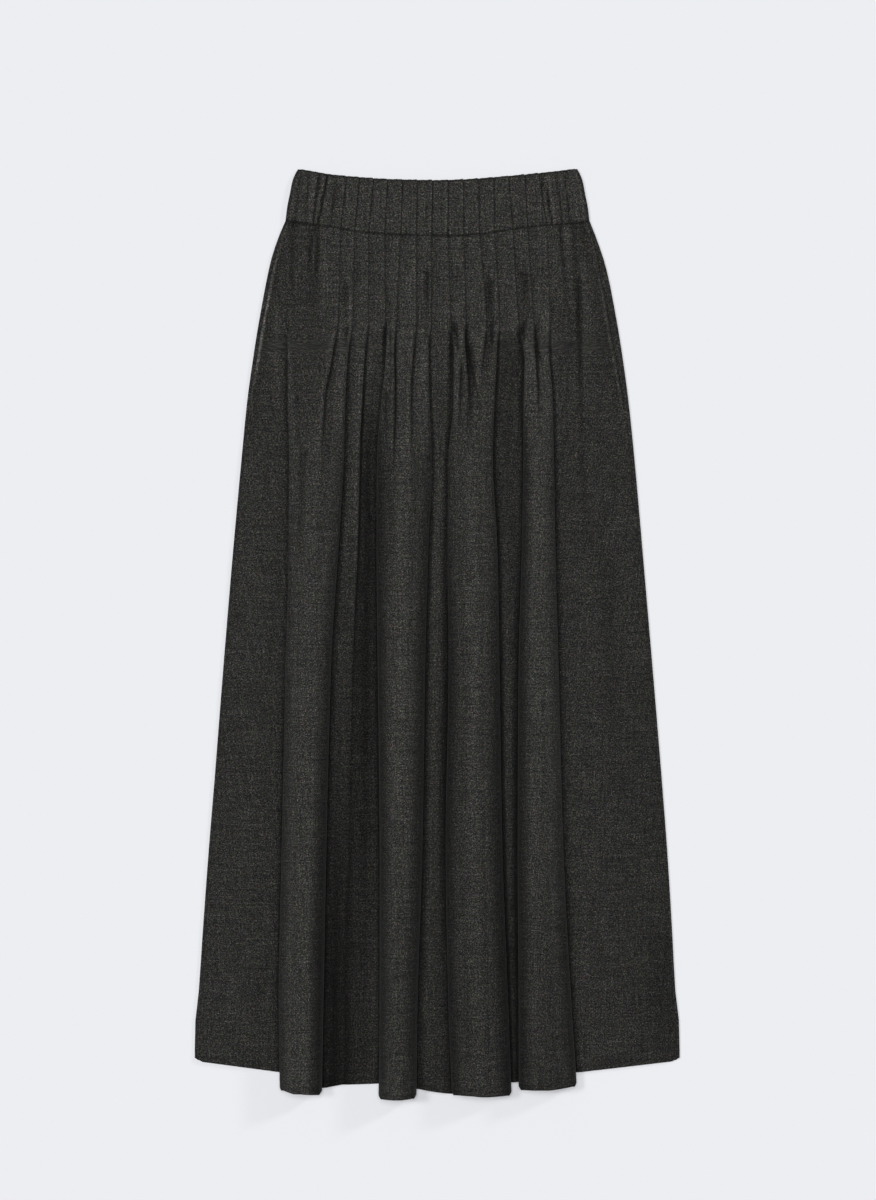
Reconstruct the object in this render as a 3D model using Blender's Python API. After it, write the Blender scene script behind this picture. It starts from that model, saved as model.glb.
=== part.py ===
"""A long tucked wool skirt laid flat with its front up.

The skirt lies on the ground plane: +X is to the right as seen from above, +Y towards the
waistband and +Z up through the cloth. Every size is in millimetres until the meshes are
made, and "drop" is the distance down from the highest point of the waistband.
"""
import math

import bmesh
import bpy

# Cloth and layers
WALL = 1.2
LAYER_GAP = 0.3
SEAM_GAP = 0.3
BAND_WALL = 1.5
TOTAL_LENGTH = 977.4
TUCK_STEP = 1.0
STITCHED_EXTRA = 0.9
RETURN_LIFT = 1.9
GATHER_COUNT = 26
GATHER_HEIGHT = 0.9
GATHER_FADE_DROP = 260.0
BAND_GATHER_HEIGHT = 0.9
COLOUR = (0.030, 0.029, 0.027)

# Drops at which the fold lines are given, from the band seam to the hem
FOLD_DROPS = (62.0, 173.0, 203.0, 243.0, 306.0, 400.0, 516.0, 715.0, 883.0, 967.0)
# Hidden depth and height of a full fold at those drops
FOLD_REACH = (0.0, 0.0, 5.8, 7.2, 8.4, 9.5, 10.5, 12.0, 13.0, 13.0)
FOLD_RISE = (1.0, 1.1, 4.2, 4.8, 5.4, 6.4, 7.4, 8.6, 9.4, 9.6)

# Each fold line: name, side its edge faces, size against a full fold, drop where it has
# faded, hem drop to its left and right, then its place across at each of FOLD_DROPS
FOLD_LINES = (
    ("edge", -1, 0.80, 0, 948.2, 968.6,
     (-151.5, -159.0, -159.0, -159.0, -157.0, -157.0, -160.0, -164.3, -167.5, -165.4)),
    ("tuck_1", 1, 0.85, 340, 972.0, 972.0,
     (-102.4, -105.5, -109.7, -117.1, -120.2, -126.0, -134.5, -142.5, -145.0, -145.0)),
    ("tuck_2", 1, 1.10, 0, 970.4, 962.9,
     (-87.7, -89.8, -92.9, -95.0, -97.1, -103.4, -110.8, -116.0, -119.2, -120.6)),
    ("tuck_3", 1, 0.85, 520, 960.4, 960.4,
     (-73.0, -73.0, -75.1, -77.2, -81.4, -76.0, -73.0, -73.5, -75.0, -75.0)),
    ("tuck_4", -1, 1.00, 0, 960.4, 975.4,
     (-56.2, -55.1, -56.2, -60.4, -64.6, -64.6, -63.5, -61.4, -61.4, -62.5)),
    ("tuck_5", 1, 0.80, 350, 977.4, 977.4,
     (-39.4, -43.6, -43.6, -42.5, -45.5, -46.5, -46.0, -43.5, -44.5, -45.0)),
    ("tuck_6", 1, 0.80, 330, 976.9, 976.9,
     (-22.6, -22.6, -24.7, -26.8, -26.0, -30.0, -31.0, -34.0, -38.5, -39.0)),
    ("tuck_7", 1, 1.00, 0, 974.7, 966.0,
     (-6.8, -7.4, -7.9, -6.8, -4.7, -8.9, -12.1, -15.2, -20.5, -21.5)),
    ("tuck_8", -1, 0.85, 0, 970.8, 972.4,
     (10.0, 14.2, 15.2, 15.2, 10.0, 10.0, 11.0, 7.9, 11.0, 14.2)),
    ("tuck_9", 1, 0.80, 300, 974.0, 974.0,
     (26.8, 29.9, 32.0, 34.1, 31.0, 30.0, 30.0, 30.0, 33.0, 36.0)),
    ("tuck_10", 1, 0.78, 285, 974.4, 974.4,
     (43.6, 51.0, 48.5, 46.0, 43.0, 43.0, 44.0, 45.0, 49.8, 52.0)),
    ("tuck_11", 1, 1.05, 0, 971.8, 958.6,
     (59.3, 64.6, 63.5, 61.4, 59.3, 63.5, 65.6, 68.8, 75.1, 78.2)),
    ("tuck_12", -1, 1.00, 0, 958.3, 966.0,
     (78.2, 85.6, 89.8, 88.7, 88.7, 87.7, 84.5, 83.5, 84.5, 84.5)),
    ("tuck_13", 1, 0.80, 290, 968.0, 968.0,
     (94.0, 101.3, 104.6, 106.4, 106.0, 106.0, 106.0, 108.0, 113.0, 115.5)),
    ("tuck_14", 1, 0.90, 0, 965.0, 948.4,
     (113.9, 118.1, 119.2, 122.3, 123.4, 124.4, 127.6, 132.8, 141.2, 146.5)),
)

# Each roll of cloth between two fold lines: left line, right line, then the rise of its
# crown at each of FOLD_DROPS
ROLLS = (
    ("edge", "tuck_2", (0.0, 0.3, 1.6, 2.8, 4.2, 5.2, 6.0, 6.6, 7.0, 6.4)),
    ("tuck_2", "tuck_3", (0.0, 0.0, 0.3, 0.6, 0.8, 0.6, 0.3, 0.2, 0.2, 0.2)),
    ("tuck_3", "tuck_4", (0.0, 0.0, 0.3, 0.5, 0.6, 0.4, 0.2, 0.2, 0.2, 0.2)),
    ("tuck_4", "tuck_7", (0.0, 0.3, 2.0, 3.2, 4.4, 5.4, 6.4, 7.4, 8.2, 8.2)),
    ("tuck_7", "tuck_8", (0.0, 0.0, 0.4, 0.8, 1.2, 1.4, 1.6, 2.0, 2.2, 2.0)),
    ("tuck_8", "tuck_11", (0.0, 0.3, 1.6, 2.6, 3.6, 4.4, 5.2, 6.0, 6.4, 6.0)),
    ("tuck_11", "tuck_12", (0.0, 0.0, 0.5, 1.0, 1.4, 1.2, 1.0, 0.8, 0.6, 0.5)),
    ("tuck_12", "tuck_14", (0.0, 0.3, 1.8, 2.8, 3.8, 4.8, 5.6, 6.4, 6.8, 6.2)),
)

# Half widths of the skirt and of its front panel at each drop: left and right
OUTLINE = (
    (54.6, 159.1, 159.1, 156.4, 156.4),
    (74.5, 167.5, 166.4, 164.0, 162.0),
    (95.5, 174.4, 173.6, 168.6, 166.6),
    (116.6, 179.0, 179.0, 172.4, 169.6),
    (137.6, 183.2, 183.0, 175.9, 173.8),
    (173.2, 189.6, 189.4, 182.6, 179.6),
    (200.6, 193.7, 193.7, 187.4, 185.3),
    (242.6, 199.0, 199.0, 194.9, 192.7),
    (305.6, 205.3, 205.3, 202.3, 201.3),
    (400.0, 214.4, 213.6, 211.4, 210.6),
    (515.6, 223.7, 223.7, 220.7, 220.7),
    (641.6, 233.9, 234.4, 230.9, 231.4),
    (725.6, 240.7, 240.9, 237.7, 237.9),
    (809.6, 247.1, 246.6, 244.1, 243.6),
    (893.6, 252.7, 251.9, 249.7, 248.9),
    (931.4, 255.2, 255.2, 252.2, 252.2),
)

# The waistband: its top edge, its seam and its side edges
BAND_TOP = (
    (-146.7, 0.3), (-130.3, 3.2), (-112.1, 6.3), (-84.8, 8.9), (-50.6, 11.2), (1.6, 12.3),
    (28.9, 11.4), (63.2, 8.9), (97.1, 5.8), (131.5, 2.1), (146.7, 0.0),
)
BAND_SEAM = (
    (-158.8, 54.1), (-130.3, 58.6), (-103.0, 62.4), (-84.8, 66.0), (-39.4, 69.6), (13.1, 70.6),
    (44.6, 68.9), (74.5, 64.4), (108.7, 60.2), (142.8, 57.2), (158.8, 55.2),
)
BAND_SIDE = (
    (0.0, 146.8), (7.4, 150.4), (13.7, 152.4), (26.2, 154.9), (38.9, 157.6), (54.6, 159.1),
)
# The tucks across the band top, and the gathers beside them: across at the top, across
# at the seam, height
BAND_TUCKS = (
    -96.1, -82.4, -67.7, -53.0, -37.3, -21.5, -5.8, 11.0, 26.8, 42.5, 58.3, 74.0, 90.8, 105.5,
)
BAND_GATHERS = (
    (-133.0, -143.5, 0.9), (-122.0, -132.0, 1.2), (-113.5, -125.0, 1.1),
    (112.0, 122.5, 1.2), (123.5, 131.0, 0.9), (134.0, 143.0, 0.9),
)

# Soft creases of the gathers under the seam: first drop, last drop, across at both, depth
PANEL_CREASES = (
    (60.0, 165.0, -131.5, -133.5, 1.0),
    (60.0, 150.0, -151.5, -154.0, 0.5),
    (58.0, 165.0, 128.5, 136.5, 0.9),
    (58.0, 300.0, 142.0, 152.5, 0.6),
)

# Rows of the front and back panels, as drops along the middle of the cloth
FRONT_ROWS = (
    62.0, 90.0, 120.0, 165.0, 174.0, 185.0, 203.0, 243.0, 290.0, 340.0, 400.0, 470.0, 550.0,
    640.0, 730.0, 820.0, 900.0, 967.0,
)
BACK_ROWS = (62.0, 90.0, 120.0, 165.0, 203.0, 290.0, 400.0, 550.0, 730.0, 900.0, 967.0)
BACK_HEM = (
    (-255.4, 932.0), (-200.0, 941.0), (-150.0, 947.0), (-60.0, 953.0), (60.0, 953.0),
    (150.0, 946.0), (200.0, 941.0), (255.0, 933.0),
)
HEM_CORNER = (932.0, 933.2)
# How the hem's drop changes from one side of a fold line to the other
HEM_SHARES = (0.0, 0.0, 0.3, 0.7, 1.0, 1.0)
HEM_CORNER_ROUND = 3.6


def clamp(value, low, high):
    return max(low, min(high, value))


def smooth(value):
    t = clamp(value, 0.0, 1.0)
    return t * t * (3.0 - 2.0 * t)


def mix(a, b, t):
    return a + (b - a) * t


def curve(keys, values, at):
    """A value read off a table with an easy curve through its rows."""
    if at <= keys[0]:
        return values[0]
    if at >= keys[-1]:
        return values[-1]
    i = max(k for k in range(len(keys) - 1) if keys[k] <= at)
    span = keys[i + 1] - keys[i]
    t = (at - keys[i]) / span
    slope = (values[i + 1] - values[i]) / span
    before = slope
    after = slope
    if i > 0:
        last = (values[i] - values[i - 1]) / (keys[i] - keys[i - 1])
        before = 0.0 if last * slope <= 0 else 2.0 * last * slope / (last + slope)
    if i < len(keys) - 2:
        coming = (values[i + 2] - values[i + 1]) / (keys[i + 2] - keys[i + 1])
        after = 0.0 if coming * slope <= 0 else 2.0 * coming * slope / (coming + slope)
    a = t * t * (3.0 - 2.0 * t)
    rise = t * (1.0 - t) * (1.0 - t) * before * span
    fall = t * t * (t - 1.0) * after * span
    return mix(values[i], values[i + 1], a) + rise + fall


def column(table, index):
    return [row[index] for row in table]


def outline(drop, index):
    """Half width at a drop, straight between the rows that both panels share."""
    below = max([row for row in BACK_ROWS[:-1] if row <= drop] or [BACK_ROWS[0]])
    above = BACK_ROWS[BACK_ROWS.index(below) + 1]
    ends = [curve(column(OUTLINE, 0), column(OUTLINE, index), row) for row in (below, above)]
    return mix(ends[0], ends[1], clamp((drop - below) / (above - below), 0.0, 1.0))


def edge_curve(table, x):
    return curve(column(table, 0), column(table, 1), x)


# How the back of the skirt is gathered on its elastic
def gather_height(x, drop, seam_drop, half_width):
    """How far the back cloth stands off the ground in its gathers."""
    fade = 1.0 - smooth((drop - seam_drop) / (GATHER_FADE_DROP - seam_drop))
    sides = smooth((half_width - abs(x)) / 30.0)
    return GATHER_HEIGHT * fade * sides


def front_level(x, drop):
    """Middle height of the front cloth where it lies plain on the back."""
    half = outline(drop, 1)
    return WALL + LAYER_GAP + WALL / 2.0 + gather_height(x, drop, 60.0, half)


def line_state(line, drop):
    """Place, facing, hidden depth, height and share left of one fold line at one drop."""
    name, faces, size, fade, left_hem, right_hem, places = line
    place = curve(FOLD_DROPS, places, drop)
    if drop <= 173.0:
        return [place, 1, 0.0, 0.0 if name == "edge" and drop < 166.0 else TUCK_STEP, 1.0]
    reach = curve(FOLD_DROPS, FOLD_REACH, drop) * size
    rise = curve(FOLD_DROPS, FOLD_RISE, drop) * size
    if drop < 203.0:
        reach = FOLD_REACH[2] * size * smooth((drop - 173.0) / 26.0)
        rise = mix(TUCK_STEP, FOLD_RISE[2] * size, smooth((drop - 173.0) / 14.0))
    left = 1.0
    if fade:
        left = 1.0 - smooth((drop - 200.0) / (fade - 200.0))
        reach = min(reach, 3.2) * smooth((left - 0.7) / 0.3)
        rise = clamp(rise, min(3.7, 0.3 * (drop - 172.0)), 4.0) * left
    return [place, faces, reach, max(rise, 0.0), left]


def plateau(x, drop, states):
    """Height of the rolls' upper cloth, from the turn of one big fold to that of the next."""
    names = [line[0] for line in FOLD_LINES]
    for left, right, crowns in ROLLS:
        a = states[names.index(left)]
        b = states[names.index(right)]
        if a[0] < x < b[0] and a[1] < 0 < b[1]:
            return mix(a[3], b[3], (x - a[0]) / (b[0] - a[0]))
    return 0.0


def roll_rise(x, drop, states):
    """Height of the big soft rolls above that."""
    names = [line[0] for line in FOLD_LINES]
    for left, right, crowns in ROLLS:
        a = states[names.index(left)][0]
        b = states[names.index(right)][0]
        if a < x < b:
            t = (x - a) / (b - a)
            return curve(FOLD_DROPS, crowns, drop) * math.sin(math.pi * t) ** 0.8
    return 0.0


def line_points(state, spread):
    """Six points of the cloth as it turns under one fold line and out again."""
    place, faces, reach, rise = state[:4]
    under = min(RETURN_LIFT, rise * 0.5)
    turn = min((rise - under) / 2.0, 3.0)
    hook = under / 2.0
    step = [(-3, 1.0), (-2, 0.97), (-0.6, 0.8), (0.6, 0.2), (2, 0.03), (3, 0.0)]
    fold = [
        (-turn, rise), (0.0, (rise + under) / 2.0), (-turn, under),
        (hook - reach, under), (-reach, under / 2.0), (hook - reach, 0.0),
    ]
    folded = clamp((reach - 0.6) / 3.0, 0.0, 1.0) * clamp(rise - 2.4, 0.0, 1.0)
    points = []
    for (sx, sz), (fx, fz) in zip(step, fold):
        points.append((mix(sx * spread, fx, folded), mix(sz * rise, fz, folded)))
    if faces < 0:
        points = [(-x, z) for x, z in reversed(points)]
    return [(place + x, z) for x, z in points]


def front_section(drop, per_strip, per_side):
    """The front cloth from its left seam to its right one: across, height, hem drop."""
    states = [line_state(line, drop) for line in FOLD_LINES]
    places = [s[0] for s in states]
    spreads = []
    floors = []
    for k, state in enumerate(states):
        gaps = [abs(places[k] - p) for p in (places[k - 1:k] + places[k + 1:k + 2])]
        spreads.append(clamp(min(gaps) / 12.0, 0.1, 0.55) if drop > 174.0 else 0.3)
        inner = FOLD_LINES[k][3] > 0
        floors.append(plateau(places[k], drop, states) * (1.0 - state[4]) if inner else 0.0)
    section = []
    for k in range(len(states) + 1):
        start = (-outline(drop, 3), 0.0)
        end = (outline(drop, 4), 0.0)
        hem_from = HEM_CORNER[0]
        hem_to = HEM_CORNER[1]
        if k > 0:
            place, faces, reach, rise = states[k - 1][:4]
            clear = 3.0 * spreads[k - 1] + 0.8
            start = (place + clear, floors[k - 1])
            if faces < 0:
                start = (place + max(reach + 1.0, clear), floors[k - 1] + rise)
            hem_from = FOLD_LINES[k - 1][5]
        if k < len(states):
            place, faces, reach, rise = states[k][:4]
            clear = 3.0 * spreads[k] + 0.8
            end = (place - max(reach + 1.0, clear), floors[k] + rise)
            if faces < 0:
                end = (place - clear, floors[k])
            hem_to = FOLD_LINES[k][4]
        low = start[0]
        high = end[0]
        if high < low + 1.2:
            middle = (low + high) / 2.0
            low = middle - 0.6
            high = middle + 0.6
        count = per_side if k in (0, len(states)) else per_strip
        for n in range(count):
            t = n / (count - 1)
            x = mix(low, high, t)
            lift = mix(start[1], end[1], smooth(t)) + roll_rise(x, drop, states)
            section.append((x, front_level(x, drop) + lift, mix(hem_from, hem_to, t)))
        if k < len(states):
            line = FOLD_LINES[k]
            for n, (x, lift) in enumerate(line_points(states[k], spreads[k])):
                share = HEM_SHARES[n]
                if line[3]:
                    near = mix(x, places[k], clamp(states[k][2] / 3.0, 0.0, 1.0))
                    at_line = floors[k] + roll_rise(near, drop, states)
                else:
                    outer = n == 0 if states[k][1] > 0 else n == 5
                    at_line = roll_rise(x, drop, states) if outer else 0.0
                level = front_level(x, drop) + at_line + lift
                turn = 1 if states[k][1] > 0 else 4
                corner = HEM_CORNER_ROUND if n == turn and not line[3] else 0.0
                section.append((x, level, mix(line[4], line[5], share) - corner))
    return section


def crease(x, drop):
    """Depth of the gathers' soft creases in the front cloth."""
    depth = 0.0
    for first, last, start, end, size in PANEL_CREASES:
        if first - 20.0 < drop < last:
            t = (drop - first) / (last - first)
            fade = (1.0 - smooth(t)) * size
            depth += fade * math.exp(-(((x - mix(start, end, clamp(t, 0.0, 1.0))) / 2.6) ** 2))
    return depth


def row_drop(nominal, x, hem):
    """Real drop of a point on a row: the rows bend to the seam above and the hem below."""
    first = FRONT_ROWS[0]
    last = FRONT_ROWS[-1]
    top = edge_curve(BAND_SEAM, x) + SEAM_GAP
    upper = 1.0 - clamp((nominal - first) / (160.0 - first), 0.0, 1.0)
    lower = smooth((nominal - 700.0) / (last - 700.0))
    return nominal + (top - first) * upper + (hem - last) * lower


def normals(path):
    """Unit normals of an open line of points, pointing up from the cloth's right side."""
    result = []
    for i in range(len(path)):
        a = path[max(i - 1, 0)]
        b = path[i]
        c = path[min(i + 1, len(path) - 1)]
        first = (b[0] - a[0], b[1] - a[1])
        second = (c[0] - b[0], c[1] - b[1])
        if i == 0:
            first = second
        if i == len(path) - 1:
            second = first
        la = math.hypot(*first) or 1.0
        lb = math.hypot(*second) or 1.0
        n = (-first[1] / la - second[1] / lb, first[0] / la + second[0] / lb)
        size = math.hypot(*n) or 1.0
        n = (n[0] / size, n[1] / size)
        cosine = n[0] * -first[1] / la + n[1] * first[0] / la
        result.append((n[0] / max(cosine, 0.75), n[1] / max(cosine, 0.75)))
    return result


def wall_between(name, upper, lower):
    """A closed wall from two matching grids of points, with its four edges filled."""
    mesh = bmesh.new()
    rows = len(upper)
    columns = len(upper[0])
    top = [[mesh.verts.new(p) for p in row] for row in upper]
    bottom = [[mesh.verts.new(p) for p in row] for row in lower]
    for r in range(rows - 1):
        for c in range(columns - 1):
            mesh.faces.new((top[r][c], top[r + 1][c], top[r + 1][c + 1], top[r][c + 1]))
            mesh.faces.new((bottom[r][c], bottom[r][c + 1], bottom[r + 1][c + 1], bottom[r + 1][c]))
    for c in range(columns - 1):
        mesh.faces.new((top[0][c], top[0][c + 1], bottom[0][c + 1], bottom[0][c]))
        mesh.faces.new((top[-1][c + 1], top[-1][c], bottom[-1][c], bottom[-1][c + 1]))
    for r in range(rows - 1):
        mesh.faces.new((top[r + 1][0], top[r][0], bottom[r][0], bottom[r + 1][0]))
        mesh.faces.new((top[r][-1], top[r + 1][-1], bottom[r + 1][-1], bottom[r][-1]))
    bmesh.ops.recalc_face_normals(mesh, faces=mesh.faces)
    data = bpy.data.meshes.new(name)
    mesh.to_mesh(data)
    mesh.free()
    made = bpy.data.objects.new(name, data)
    skirt.objects.link(made)
    material = bpy.data.materials.new(name + "_wool")
    material.use_nodes = True
    shader = material.node_tree.nodes["Principled BSDF"]
    shader.inputs["Base Color"].default_value = (*COLOUR, 1.0)
    shader.inputs["Roughness"].default_value = 0.92
    shader.inputs["Metallic"].default_value = 0.0
    data.materials.append(material)
    return made


def placed(x, drop, height):
    """A point of the skirt in metres, with the box's middle on the origin."""
    return (x * 0.001, (TOTAL_LENGTH / 2.0 - drop) * 0.001, height * 0.001)


def front_panel():
    upper = []
    lower = []
    for nominal in FRONT_ROWS:
        at = nominal
        section = front_section(at, 3, 7)
        path = [(x, z) for x, z, hem in section]
        outward = normals(path)
        above = []
        below = []
        stitched = smooth((176.0 - at) / 6.0)
        for (x, z, hem), (nx, nz) in zip(section, outward):
            drop = row_drop(nominal, x, hem)
            plain = front_level(x, at) - WALL / 2.0
            raised = 0.0
            if stitched > 0.9:
                raised = STITCHED_EXTRA * smooth((outline(at, 3) - abs(x)) / 25.0) - crease(x, drop)
            under_x = mix(x - nx * WALL / 2.0, x, stitched)
            under_z = mix(z - nz * WALL / 2.0, plain, stitched)
            over_x = mix(x + nx * WALL / 2.0, x, stitched)
            over_z = mix(z + nz * WALL / 2.0, z + WALL / 2.0, stitched) + raised
            above.append(placed(over_x, drop, over_z))
            below.append(placed(under_x, drop, under_z))
        upper.append(above)
        lower.append(below)
    return wall_between("front_panel", upper, lower)


def wrapped_section(half_left, half_right, seam_left, seam_right, level, wave, count):
    """The back cloth from the left seam round under the skirt to the right seam."""
    bottom = WALL / 2.0
    turn = (level - bottom) / 2.0
    path = [
        (seam_left, level),
        (half_left + turn + 0.6, level),
        (half_left + 0.6, bottom + turn),
        (half_left + turn + 0.6, bottom),
    ]
    low = half_left + turn + 3.0
    high = half_right - turn - 3.0
    for n in range(count):
        x = mix(low, high, n / (count - 1))
        path.append((x, bottom + (wave(x) if n % 2 else 0.0)))
    path += [
        (half_right - turn - 0.6, bottom),
        (half_right - 0.6, bottom + turn),
        (half_right - turn - 0.6, level),
        (seam_right, level),
    ]
    return path


def back_panel():
    upper = []
    lower = []
    count = GATHER_COUNT * 2 + 1
    for nominal in BACK_ROWS:
        at = nominal
        half = outline(at, 1)

        def wave(x):
            return gather_height(x, at, 60.0, half)

        level = WALL + LAYER_GAP + WALL / 2.0
        path = wrapped_section(
            -outline(at, 1), outline(at, 2),
            -outline(at, 3) - SEAM_GAP, outline(at, 4) + SEAM_GAP, level, wave, count,
        )
        outward = normals(path)
        above = []
        below = []
        for (x, z), (nx, nz) in zip(path, outward):
            drop = row_drop(nominal, x, edge_curve(BACK_HEM, x))
            above.append(placed(x + nx * WALL / 2.0, drop, z + nz * WALL / 2.0))
            below.append(placed(x - nx * WALL / 2.0, drop, max(z - nz * WALL / 2.0, 0.0)))
        upper.append(above)
        lower.append(below)
    return wall_between("back_panel", upper, lower)


def band_half(drop):
    return curve(column(BAND_SIDE, 0), column(BAND_SIDE, 1), drop)


BAND_ROWS = (0.0, 0.5, 1.0)
BAND_FRONT_LEVEL = WALL + BAND_GATHER_HEIGHT + LAYER_GAP
BAND_EDGE_INSET = 2.9


def band_line(share):
    """Across places and outer heights of the band's front at one share of its depth."""
    points = []
    for top_x, line in zip(BAND_TUCKS, FOLD_LINES[1:]):
        x = mix(top_x, line[6][0], share)
        points += [(x - 0.7, TUCK_STEP), (x + 0.1, 0.45), (x + 0.7, 0.0), (x + 6.5, 0.25)]
    for top_x, seam_x, height in BAND_GATHERS:
        x = mix(top_x, seam_x, share)
        points += [(x - 4.4, height), (x, 0.0)]
    return sorted(points)


def waistband_front():
    upper = []
    lower = []
    for share in BAND_ROWS:
        middle = mix(6.0, 60.0, share)
        half = band_half(mix(0.0, 54.6, share)) - BAND_EDGE_INSET
        points = band_line(share)
        points = [(-half, 0.0), (-half + 3.5, 0.5)] + points + [(half - 3.5, 0.5), (half, 0.0)]
        above = []
        below = []
        for x, raised in points:
            drop = mix(edge_curve(BAND_TOP, x), edge_curve(BAND_SEAM, x), share)
            belly = 0.5 * math.sin(math.pi * clamp(share, 0.0, 1.0))
            level = BAND_FRONT_LEVEL - (1.0 - smooth((half - abs(x)) / 14.0)) * 0.6
            above.append(placed(x, drop, level + BAND_WALL + belly + raised))
            below.append(placed(x, drop, level))
        upper.append(above)
        lower.append(below)
    return wall_between("waistband_front", upper, lower)


def waistband_back():
    upper = []
    lower = []
    count = GATHER_COUNT * 2 + 1
    for share in BAND_ROWS:
        half = band_half(mix(0.0, 54.6, share))

        def wave(x):
            return BAND_GATHER_HEIGHT * smooth((half - abs(x)) / 12.0)

        level = BAND_FRONT_LEVEL - 0.6 + BAND_WALL / 2.0
        front_half = half - BAND_EDGE_INSET + SEAM_GAP
        path = wrapped_section(-half, half, -front_half, front_half, level, wave, count)
        outward = normals(path)
        above = []
        below = []
        for (x, z), (nx, nz) in zip(path, outward):
            drop = mix(edge_curve(BAND_TOP, x), edge_curve(BAND_SEAM, x), share)
            above.append(placed(x + nx * WALL / 2.0, drop, z + nz * WALL / 2.0))
            below.append(placed(x - nx * WALL / 2.0, drop, max(z - nz * WALL / 2.0, 0.0)))
        upper.append(above)
        lower.append(below)
    return wall_between("waistband_back", upper, lower)


for old in list(bpy.data.objects):
    bpy.data.objects.remove(old, do_unlink=True)
skirt = bpy.data.collections.new("pleated_skirt")
bpy.context.scene.collection.children.link(skirt)
front_panel()
back_panel()
waistband_front()
waistband_back()
bpy.context.view_layer.update()
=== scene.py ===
"""The looks of a long tucked wool skirt that lies flat with its front up.

Sizes are in millimetres until a mesh is made, "across" runs from the middle of the skirt to
its right, and "drop" is the distance down from the highest point of the waistband.
"""
import math

import bmesh
import bpy
import numpy as np
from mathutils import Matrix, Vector, noise


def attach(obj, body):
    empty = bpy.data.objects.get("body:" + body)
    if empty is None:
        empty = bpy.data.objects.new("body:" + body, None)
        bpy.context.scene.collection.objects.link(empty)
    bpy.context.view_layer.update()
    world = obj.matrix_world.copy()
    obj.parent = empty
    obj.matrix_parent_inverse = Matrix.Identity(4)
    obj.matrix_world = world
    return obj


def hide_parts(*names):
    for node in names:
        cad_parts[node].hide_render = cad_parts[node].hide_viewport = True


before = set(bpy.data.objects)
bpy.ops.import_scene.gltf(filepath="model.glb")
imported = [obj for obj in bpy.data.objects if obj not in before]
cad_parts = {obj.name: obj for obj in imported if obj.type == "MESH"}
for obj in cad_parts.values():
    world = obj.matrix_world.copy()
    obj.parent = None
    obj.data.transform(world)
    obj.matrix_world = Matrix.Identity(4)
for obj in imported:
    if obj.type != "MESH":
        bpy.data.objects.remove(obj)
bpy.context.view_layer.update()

# Cloth and layers: the solids' wall, the thinner sheet that is shown, and what lies between
WALL = 1.2
SHELL = 1.0
LAYER_GAP = 0.3
TOTAL_LENGTH = 977.4
# Drops that stand for the waistband seam and for the hem, before the rows bend to them, and
# the lengths over which they bend
SEAM_DROP = 62.0
HEM_DROP = 967.0
SEAM_BEND = 98.0
HEM_BEND = 267.0
# Middle and half width of the part of the front that is tucked
TUCKS_MIDDLE = 8.0
TUCKS_HALF = 112.0
TUCK_STEP = 1.5
RETURN_LIFT = 1.9
GATHER_COUNT = 26
GATHER_HEIGHT = 1.5
GATHER_FADE_DROP = 340.0
BAND_GATHER_HEIGHT = 1.1
TURN_CLEAR = 4.2
BACK_SEAM_LEVEL = WALL + LAYER_GAP + WALL / 2.0 - 0.35
FRONT_LEVEL = WALL + LAYER_GAP + WALL / 2.0
BAND_FRONT_LEVEL = 2.4
BAND_FACE = 1.5
BAND_STEP = 1.3
BAND_SIDE_DEPTH = 54.6
BAND_EDGE_INSET = 2.9
HEM_CORNER_ROUND = 3.6
HEM_STITCH_UP = 4.8
SEAM_SLOPE = 7.6
# Painted light and shade from the relief: reach of a look round, the height that counts as full
# there, and its share of the tone
RELIEF_SCALES = ((2.4, 0.8, 0.45), (6.0, 3.0, 0.25))
BAND_RELIEF = ((1.5, 0.34, 0.85),)
# Share of the painted highlight kept on the band's ridges, and of the painted light and shade from
# the relief kept on the stitched tucks
BAND_RIDGE_TONE = 0.22
STITCHED_RELIEF = 0.75
# Tones are natural logarithms of paleness painted into the cloth's colour: above nought paler,
# below it darker; they carry painted light on raised cloth and painted shade in folds, creases,
# grooves and seams
TUCKS_PALE = 0.20
BAND_PALE = 0.27
CREASE_TONE = 0.24
STITCH_GROOVE = 0.35
HEM_STITCH_TONE = 0.26
HEM_EDGE_TONE = 0.55

# Drops at which the fold lines are given, from the band seam to the hem
FOLD_DROPS = (SEAM_DROP, 173.0, 203.0, 243.0, 306.0, 400.0, 516.0, 715.0, 883.0, HEM_DROP)
# Hidden depth and height of a full fold at those drops
FOLD_REACH = (0.0, 0.0, 5.8, 7.2, 8.4, 9.5, 10.5, 12.0, 13.0, 13.0)
FOLD_RISE = (1.0, 1.1, 3.6, 4.2, 4.6, 5.0, 5.4, 5.8, 6.2, 6.2)

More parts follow.
